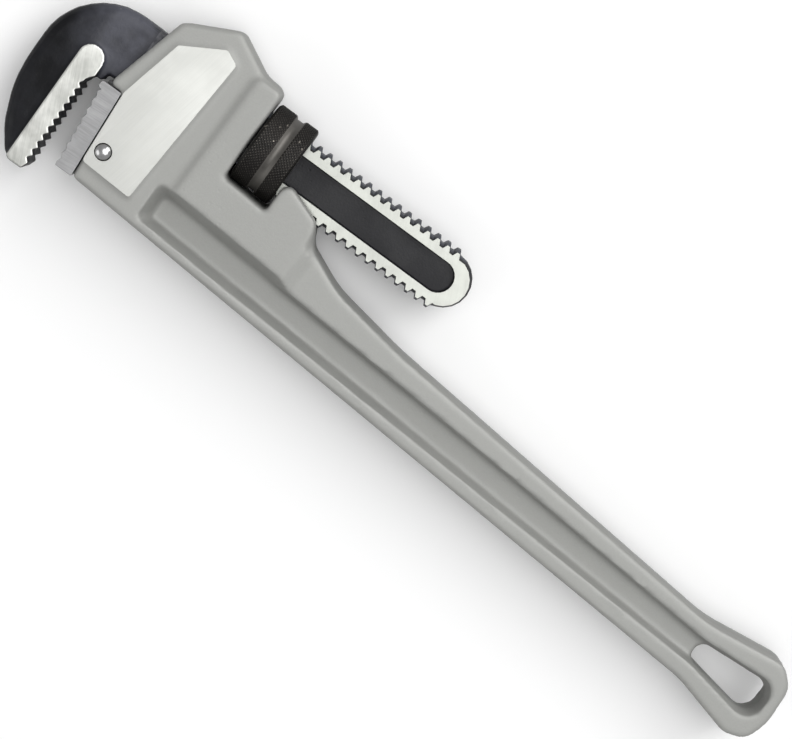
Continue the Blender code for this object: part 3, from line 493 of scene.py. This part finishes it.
# ---------------------------------------------------------------- mesh tools

def cad_copy(name):
    """bmesh of a CAD node with its loose triangles merged."""
    bm = bmesh.new()
    bm.from_mesh(frame["nodes"][name].data)
    bmesh.ops.remove_doubles(bm, verts=bm.verts, dist=1e-6)
    return bm


def shown(name, bm, body, finish, sharp=35, nodes=()):
    """Object from a finished bmesh: it rides on a body and may stand for CAD nodes."""
    mesh = bpy.data.meshes.new(name)
    bm.to_mesh(mesh)
    bm.free()
    mesh.shade_smooth()
    if sharp is not None:
        mesh.set_sharp_from_angle(angle=math.radians(sharp))
    mesh.materials.append(finish)
    obj = bpy.data.objects.new(name, mesh)
    bpy.context.scene.collection.objects.link(obj)
    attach(obj, body)
    if nodes:
        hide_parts(*nodes)
    return obj


def evened(bm, spacing):
    """The same solid with evenly spaced quads, by a voxel remesh."""
    mesh = bpy.data.meshes.new("blank")
    bm.to_mesh(mesh)
    bm.free()
    blank = bpy.data.objects.new("blank", mesh)
    bpy.context.scene.collection.objects.link(blank)
    change = blank.modifiers.new("even", "REMESH")
    change.mode = "VOXEL"
    change.voxel_size = spacing
    depsgraph = bpy.context.evaluated_depsgraph_get()
    even = bpy.data.meshes.new_from_object(blank.evaluated_get(depsgraph))
    fresh = bmesh.new()
    fresh.from_mesh(even)
    bpy.data.objects.remove(blank)
    bpy.data.meshes.remove(mesh)
    bpy.data.meshes.remove(even)
    return fresh


def soften(bm, rounds, keep=lambda co: False):
    """Smooth the whole surface, apart from the points that keep picks by their place."""
    verts = [v for v in bm.verts if not keep(v.co)]
    for _ in range(rounds):
        bmesh.ops.smooth_vert(bm, verts=verts, factor=0.5, use_axis_x=True, use_axis_y=True,
                              use_axis_z=True)


def fill_corners(bm, rounds, keep=lambda co: False, hollow=-0.06):
    """Round the inner corners: smooth only where the surface folds inwards."""
    for _ in range(rounds):
        corner = {v for e in bm.edges if e.calc_face_angle_signed(0.0) < hollow for v in e.verts}
        verts = [v for v in corner if not keep(v.co)]
        bmesh.ops.smooth_vert(bm, verts=verts, factor=0.5, use_axis_x=True, use_axis_y=True,
                              use_axis_z=True)


def ridge(bm, height, keep):
    """Raise a thin line round the piece in its middle plane, where keep picks points."""
    plane = Vector((0, 0, NUT.z))
    cut = bmesh.ops.bisect_plane(bm, geom=bm.verts[:] + bm.edges[:] + bm.faces[:], dist=1e-6,
                                 plane_co=plane, plane_no=(0, 0, 1))
    bm.normal_update()
    line = [v for v in cut["geom_cut"] if isinstance(v, bmesh.types.BMVert)]
    for vert in line:
        if abs(vert.normal.z) < 0.4 and keep(vert.co):
            vert.co += vert.normal * height


# ---------------------------------------------------------------- casting

# Places in millimetres from the nut's centre
CHANNEL_WIDE = 7.6          # just outside the shank's channel, half its width
CHANNEL_LOW = -18.5         # just under its floor
CHANNEL_RIGHT = -11.0       # it ends at the nut's window
PAD_THICK = 0.6             # how far a pad's skin reaches into the casting
PAD_EDGE = 0.09             # bevel round a pad's skin
PARTING_FROM = -60.0


def near_channel(co):
    """True for points on the machined walls of the shank's channel."""
    local = (co - NUT) / MM
    return abs(local.z) < CHANNEL_WIDE and local.y > CHANNEL_LOW and local.x < CHANNEL_RIGHT


def make_pad(name, side, sizes, finish):
    """Skin of one machined pad: the CAD pad's flat face, lifted a little and given a thickness."""
    bm = cad_copy("handle")
    level = NUT.z + side * PAD_HALF
    others = [f for f in bm.faces if any(abs(v.co.z - level) > 1e-5 for v in f.verts)]
    bmesh.ops.delete(bm, geom=others, context="FACES")
    bmesh.ops.dissolve_limit(bm, angle_limit=math.radians(1), verts=bm.verts, edges=bm.edges)
    grown = bmesh.ops.extrude_face_region(bm, geom=bm.faces[:])
    moved = [v for v in grown["geom"] if isinstance(v, bmesh.types.BMVert)]
    bmesh.ops.translate(bm, verts=moved, vec=(0, 0, -side * PAD_THICK * MM))
    bmesh.ops.translate(bm, verts=bm.verts, vec=(0, 0, side * sizes.pad_lift))
    bmesh.ops.recalc_face_normals(bm, faces=bm.faces)
    rim = [e for e in bm.edges if abs(e.calc_face_angle(0.0)) > 1.0
           and all((v.co.z - level) * side > 0 for v in e.verts)]
    bmesh.ops.bevel(bm, geom=rim, offset=PAD_EDGE * MM, offset_type="OFFSET", segments=2,
                    profile=0.5, affect="EDGES", material=-1)
    return shown(name, bm, "handle", finish, 15)


class WRENCH_OT_casting(bpy.types.Operator):
    """Handle casting with cast fillets and a parting line, and its two machined pads"""
    bl_idname = "wrench.casting"
    bl_label = "Handle casting"

    def execute(self, context):
        sizes, colours = context.scene.wrench_sizes, context.scene.wrench_colours
        bm = evened(cad_copy("handle"), sizes.casting_detail)
        soften(bm, sizes.casting_rounds, near_channel)
        fill_corners(bm, sizes.fillet_rounds, near_channel)
        ridge(bm, sizes.parting_ridge, lambda co: co.x > spot(PARTING_FROM, 0).x)
        shown("handle_casting", bm, "handle", cast_aluminium(colours), None,
              ["handle"])
        bright = machined_aluminium(colours)
        make_pad("front_pad_face", 1, sizes, bright)
        make_pad("back_pad_face", -1, sizes, bright)
        return {"FINISHED"}


# ---------------------------------------------------------------- hook jaw

SHANK_HALF = 6.6            # half thickness of the shank at its rails
RAIL_FROM = -64.0           # the machined shank starts inside the head
BRIGHT_FROM = -9.0          # its rails are ground bright from here to its end
TOOTH_TOP = -20.0           # the teeth hang below this height
TOOTH_RIGHT_OF = -86.0      # and right of this place
SEAM = -68.0                # inside the head: the hook's mesh ends and the shank's begins
SEAM_SPARE = 2.0            # the hook is made even this much past it, then trimmed
STRIP_LEFT = -90.0          # left edge of the ground strip
SCUFF_AT = (-78.0, 4.0, 8.0)    # middle of the rubbed face of the arm

# Where a finish starts and where it is full, in metres: from the shank's axis, or from SCUFF_AT
FLANK_BAND = (11.0 * MM, 12.0 * MM)
RECESS_BAND = (7.2 * MM, 6.4 * MM)
SCUFF_BAND = (27.0 * MM, 9.0 * MM)
LEVEL_SLACK = 0.00004       # a ground face may lie this much lower than its level
HOOK_LOW_X = (HOOK_LOW.x - NUT.x) / MM


def share_of(value, none, full):
    """Place of a value between none (0) and full (1), clamped."""
    return min(1.0, max(0.0, (value - none) / (full - none)))


def forged_skin(co):
    """How much a point belongs to the forged skin: none on the ground faces, thread and teeth."""
    local = (co - NUT) / MM
    if local.x > TOOTH_RIGHT_OF and local.y < TOOTH_TOP + 3:
        return 0.0
    off_strip = share_of(abs(local.z), STRIP_HALF / MM - 0.35, STRIP_HALF / MM - 0.95)
    return off_strip * share_of(local.x, RAIL_FROM - 6, RAIL_FROM - 14)


def one_end(bm, side, reach=0.0):
    """Keep the hook (side 1) or the shank (side -1) beyond a plane across the shank."""
    geom = bm.verts[:] + bm.edges[:] + bm.faces[:]
    bmesh.ops.bisect_plane(bm, geom=geom, dist=1e-7, plane_co=spot(SEAM + reach, 0),
                           plane_no=(side, 0, 0), clear_outer=True)
    bmesh.ops.holes_fill(bm, edges=[e for e in bm.edges if e.is_boundary], sides=0)
    return bm


def kept_crisp(co):
    """Points of the hook jaw that stay as sharp as they were cut."""
    return forged_skin(co) < 0.5


class WRENCH_OT_hook_jaw(bpy.types.Operator):
    """Hook jaw: hook with an uneven forged skin, ground strip and teeth, and threaded shank"""
    bl_idname = "wrench.hook_jaw"
    bl_label = "Hook jaw"

    def execute(self, context):
        sizes, colours = context.scene.wrench_sizes, context.scene.wrench_colours
        finish = forged_steel(colours)
        bm = evened(one_end(cad_copy("hook_jaw"), 1, SEAM_SPARE), sizes.forging_detail)
        one_end(bm, 1)
        soften(bm, 3, kept_crisp)
        fill_corners(bm, 16, kept_crisp)
        bm.normal_update()
        for vert in bm.verts:
            share = forged_skin(vert.co)
            if share:
                wave = noise.noise(vert.co * 90) + 0.5 * noise.noise(vert.co * 260)
                vert.co += vert.normal * (wave * share * sizes.forged_waves)
                self.slope(vert, share, sizes.hook_slope)
        shown("hook_jaw_forging", bm, "hook_jaw", finish, None, ["hook_jaw"])
        shank = one_end(cad_copy("hook_jaw"), -1)
        bmesh.ops.dissolve_limit(shank, angle_limit=math.radians(0.5), verts=shank.verts,
                                 edges=shank.edges)
        shown("hook_jaw_shank", shank, "hook_jaw", finish, 24)
        return {"FINISHED"}

    def slope(self, vert, share, most):
        """Lower a point of the hook's side faces the nearer it is to the hook's back."""
        local = (vert.co - NUT) / MM
        back = share_of(local.x, STRIP_LEFT, HOOK_LOW_X) * share
        if abs(local.z) > 1.0:
            vert.co.z -= math.copysign(most * back, local.z) * share_of(abs(local.z), 1.0, 6.0)


# ---------------------------------------------------------------- heel jaw and pin

PIN_SUNK = 0.3              # foot of the pin's dome below the pad
DOME_STEPS = 10
PIN_STEPS = 64

def broken_edges(obj, width, angle=30):
    """Narrow bevel on the object's sharp edges; its flat faces stay flat."""
    change = obj.modifiers.new("broken_edges", "BEVEL")
    change.harden_normals = True
    change.width = width
    change.segments = 2
    change.limit_method = "ANGLE"
    change.angle_limit = math.radians(angle)


class WRENCH_OT_heel_jaw(bpy.types.Operator):
    """Heel jaw with broken edges, and the domed pin that holds it"""
    bl_idname = "wrench.heel_jaw"
    bl_label = "Heel jaw and pin"

    def execute(self, context):
        sizes, colours = context.scene.wrench_sizes, context.scene.wrench_colours
        bm = cad_copy("heel_jaw")
        bmesh.ops.dissolve_limit(bm, angle_limit=math.radians(1), verts=bm.verts, edges=bm.edges)
        jaw = shown("heel_jaw_block", bm, "handle", ground_steel(colours), 30,
                    ["heel_jaw"])
        broken_edges(jaw, sizes.edge_break)
        self.make_pin(polished_steel(colours))
        return {"FINISHED"}

    def make_pin(self, finish):
        """Pin turned about its own axis: a straight shank with a domed head at each end."""
        centre = (PIN_LOW + PIN_HIGH) / 2
        radius = (PIN_HIGH.x - PIN_LOW.x) / 2
        half = (PIN_HIGH.z - PIN_LOW.z) / 2
        dome = half - PAD_HALF + PIN_SUNK * MM
        upper = []
        for i in range(DOME_STEPS + 1):
            turn = math.pi / 2 * i / DOME_STEPS
            upper.append((radius * math.cos(turn), half - dome + dome * math.sin(turn)))
        profile = [(r, -z) for r, z in reversed(upper)] + upper
        bm = bmesh.new()
        verts = [bm.verts.new((max(r, 0.0), 0, z)) for r, z in profile]
        edges = [bm.edges.new(pair) for pair in zip(verts, verts[1:])]
        bmesh.ops.spin(bm, geom=verts + edges, cent=(0, 0, 0), axis=(0, 0, 1), dvec=(0, 0, 0),
                       angle=2 * math.pi, steps=PIN_STEPS, use_merge=True)
        bmesh.ops.remove_doubles(bm, verts=bm.verts, dist=1e-7)
        bmesh.ops.recalc_face_normals(bm, faces=bm.faces)
        bmesh.ops.translate(bm, verts=bm.verts, vec=centre)
        shown("heel_jaw_pin_domed", bm, "handle", finish, 30, ["heel_jaw_pin"])


# ---------------------------------------------------------------- nut

GROOVE_FROM = -1.2          # the smooth groove between the two knurled bands
GROOVE_TO = 2.8
KNURL_SUB = 6               # surface points along one diamond
BAND_WALL = 1.3             # thickness of a knurled sleeve
BAND_PROUD = 0.06           # sleeve's blank above the nut's body
BAND_INSET = 0.03           # its end behind the nut's end
END_CHAMFER = 0.95
GROOVE_CHAMFER = 0.3
KNURL_FADE = 0.7            # the knurl fades out over this much at each end
KNURL_CREST = 0.8           # share of a diamond's height at which its crest is flat


def triangle(value):
    """Triangle wave: 0 at whole numbers and 1 half-way between them."""
    return 1 - abs(2 * (value % 1.0) - 1)


def make_band(name, x0, x1, fall0, fall1, sizes, finish):
    """Knurled sleeve from x0 to x1; fall0 and fall1 say how far its ends are chamfered."""
    radius, inner = NUT_RADIUS, NUT_RADIUS - BAND_WALL * MM
    count = round(2 * math.pi * radius / sizes.knurl_pitch)
    rows = round((x1 - x0) / sizes.knurl_pitch * KNURL_SUB)
    bm = bmesh.new()
    outer = []
    for i in range(rows + 1):
        x = x0 + (x1 - x0) * i / rows
        drop = max(0.0, fall0 - (x - x0), fall1 - (x1 - x))
        outer.append(bm.verts.new((x, 0, radius + BAND_PROUD * MM - drop)))
    loop = outer + [bm.verts.new((x1, 0, inner)), bm.verts.new((x0, 0, inner))]
    edges = [bm.edges.new((loop[i - 1], loop[i])) for i in range(len(loop))]
    bmesh.ops.spin(bm, geom=loop + edges, cent=(0, 0, 0), axis=(1, 0, 0), dvec=(0, 0, 0),
                   angle=2 * math.pi, steps=count * KNURL_SUB, use_merge=True)
    bmesh.ops.recalc_face_normals(bm, faces=bm.faces)
    for vert in bm.verts:
        away = math.hypot(vert.co.y, vert.co.z)
        fade = min(vert.co.x - x0, x1 - vert.co.x) / (KNURL_FADE * MM)
        if away > inner + 0.2 * MM and fade > 0:
            around = count * math.atan2(vert.co.y, vert.co.z) / (2 * math.pi)
            along = vert.co.x / sizes.knurl_pitch
            diamond = min(triangle(around + along), triangle(around - along))
            share = min(diamond, KNURL_CREST) / KNURL_CREST
            lift = share * sizes.knurl_height * min(1.0, fade)
            vert.co.y *= 1 + lift / away
            vert.co.z *= 1 + lift / away
    bmesh.ops.translate(bm, verts=bm.verts, vec=NUT)
    return shown(name, bm, "nut", finish, None)


class WRENCH_OT_nut(bpy.types.Operator):
    """Adjusting nut: threaded body with a smooth groove between two knurled bands"""
    bl_idname = "wrench.nut"
    bl_label = "Adjusting nut"

    def execute(self, context):
        sizes, colours = context.scene.wrench_sizes, context.scene.wrench_colours
        finish = blackened_steel("blackened_steel", colours.nut, colours)
        groove = blackened_steel("blackened_groove", colours.nut_groove, colours)
        body = cad_copy("adjusting_nut")
        shown("nut_body", body, "nut", groove, 30, ["adjusting_nut"])
        end = NUT_HALF - BAND_INSET * MM
        outer, inner = END_CHAMFER * MM, GROOVE_CHAMFER * MM
        make_band("nut_knurl_left", -end, GROOVE_FROM * MM, outer, inner, sizes, finish)
        make_band("nut_knurl_right", GROOVE_TO * MM, end, inner, outer, sizes, finish)
        return {"FINISHED"}


# ---------------------------------------------------------------- springs

class WRENCH_OT_springs(bpy.types.Operator):
    """Leaf spring and coil spring in the head, with their rivet and guide pin"""
    bl_idname = "wrench.springs"
    bl_label = "Springs and their pins"

    def execute(self, context):
        finish = spring_steel(context.scene.wrench_colours)
        for part, name in (("flat_spring", "flat_spring_leaf"), ("flat_spring_pin", "flat_spring_rivet"),
                           ("coil_spring", "coil_spring_wire"), ("coil_spring_pin", "coil_spring_guide")):
            shown(name, cad_copy(part), "handle", finish, 40, [part])
        return {"FINISHED"}


# ---------------------------------------------------------------- stage

CAMERA_AT = (20.6, 74.0, 900.0)     # from the nut's centre, looking down on the wrench
CAMERA_TO = (96.1, -43.7, 0.0)
CAMERA_UP = (-0.593, 0.805, 0.0)
CAMERA_LENS = 96.3
FLOOR_DROP = 0.0006                 # the floor lies just under the knurl's crests


# Soft boxes: name, place from the middle of the wrench and width, in metres
SOFT_BOXES = (
    ("overhead", (0.32, 0.4, 1.7), 1.8),
    ("side", (0.6, 1.6, 1.1), 1.4),
    ("fill", (-1.3, -1.1, 1.0), 1.4),
)


def aimed(obj, at, to, up):
    """Place an object at a point with its -Z towards another and its Y towards up."""
    ahead = (to - at).normalized()
    rise = (Vector(up) - ahead * ahead.dot(Vector(up))).normalized()
    right = ahead.cross(rise)
    obj.matrix_world = Matrix.Translation(at) @ Matrix((right, rise, -ahead)).transposed().to_4x4()


def soft_box(name, at, to, size, power):
    light = bpy.data.lights.new(name, "AREA")
    light.shape = "DISK"
    light.size = size
    light.energy = power
    obj = bpy.data.objects.new(name, light)
    bpy.context.scene.collection.objects.link(obj)
    aimed(obj, at, to, (0, 1, 0))


class WRENCH_OT_stage(bpy.types.Operator):
    """Pale floor, soft light and the camera"""
    bl_idname = "wrench.stage"
    bl_label = "Stage"

    def execute(self, context):
        scene = context.scene
        scene.view_settings.view_transform = "Standard"
        self.make_floor(scene.wrench_colours)
        self.make_lights(scene.wrench_light)
        self.make_camera()
        return {"FINISHED"}

    def make_floor(self, colours):
        bm = bmesh.new()
        bmesh.ops.create_grid(bm, x_segments=4, y_segments=4, size=4.0)
        bmesh.ops.translate(bm, verts=bm.verts, vec=(0, 0, -FLOOR_DROP))
        mesh = bpy.data.meshes.new("floor")
        bm.to_mesh(mesh)
        bm.free()
        mesh.materials.append(pale_floor(colours))
        floor = bpy.data.objects.new("floor", mesh)
        bpy.context.scene.collection.objects.link(floor)

    def make_lights(self, light):
        middle = spot(96, -40)
        for name, away, size in SOFT_BOXES:
            soft_box(name, middle + Vector(away), middle, size, getattr(light, name))
        world = bpy.data.worlds.new("surround")
        world.use_nodes = True
        back = world.node_tree.nodes["Background"]
        back.inputs["Color"].default_value = (1.0, 1.0, 1.0, 1.0)
        back.inputs["Strength"].default_value = light.surround
        bpy.context.scene.world = world

    def make_camera(self):
        data = bpy.data.cameras.new("camera")
        data.sensor_width = 36.0
        data.lens = CAMERA_LENS
        data.clip_start = 0.01
        data.clip_end = 20.0
        camera = bpy.data.objects.new("camera", data)
        bpy.context.scene.collection.objects.link(camera)
        aimed(camera, spot(*CAMERA_AT), spot(*CAMERA_TO), CAMERA_UP)
        bpy.context.scene.camera = camera


# ---------------------------------------------------------------- panel and registration

OPERATORS = (WRENCH_OT_casting, WRENCH_OT_hook_jaw, WRENCH_OT_heel_jaw, WRENCH_OT_nut,
             WRENCH_OT_springs, WRENCH_OT_stage)


class WRENCH_PT_build(bpy.types.Panel):
    """Pieces of the wrench, and the sizes and colours they are built with"""
    bl_label = "Pipe wrench"
    bl_idname = "WRENCH_PT_build"
    bl_space_type = "VIEW_3D"
    bl_region_type = "UI"
    bl_category = "Wrench"

    def draw(self, context):
        for operator in OPERATORS:
            self.layout.operator(operator.bl_idname)
        for settings in (context.scene.wrench_sizes, context.scene.wrench_colours,
                         context.scene.wrench_light):
            box = self.layout.box()
            for name in settings.__annotations__:
                box.prop(settings, name)


CLASSES = (WrenchSizes, WrenchColours, WrenchLight, *OPERATORS, WRENCH_PT_build)


def register():
    for cls in CLASSES:
        bpy.utils.register_class(cls)
    bpy.types.Scene.wrench_sizes = PointerProperty(type=WrenchSizes)
    bpy.types.Scene.wrench_colours = PointerProperty(type=WrenchColours)
    bpy.types.Scene.wrench_light = PointerProperty(type=WrenchLight)


def unregister():
    del bpy.types.Scene.wrench_light
    del bpy.types.Scene.wrench_colours
    del bpy.types.Scene.wrench_sizes
    for cls in reversed(CLASSES):
        bpy.utils.unregister_class(cls)


def main():
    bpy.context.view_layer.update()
    register()
    for operator in OPERATORS:
        family, name = operator.bl_idname.split(".")
        getattr(getattr(bpy.ops, family), name)()


if __name__ == "__main__":
    main()
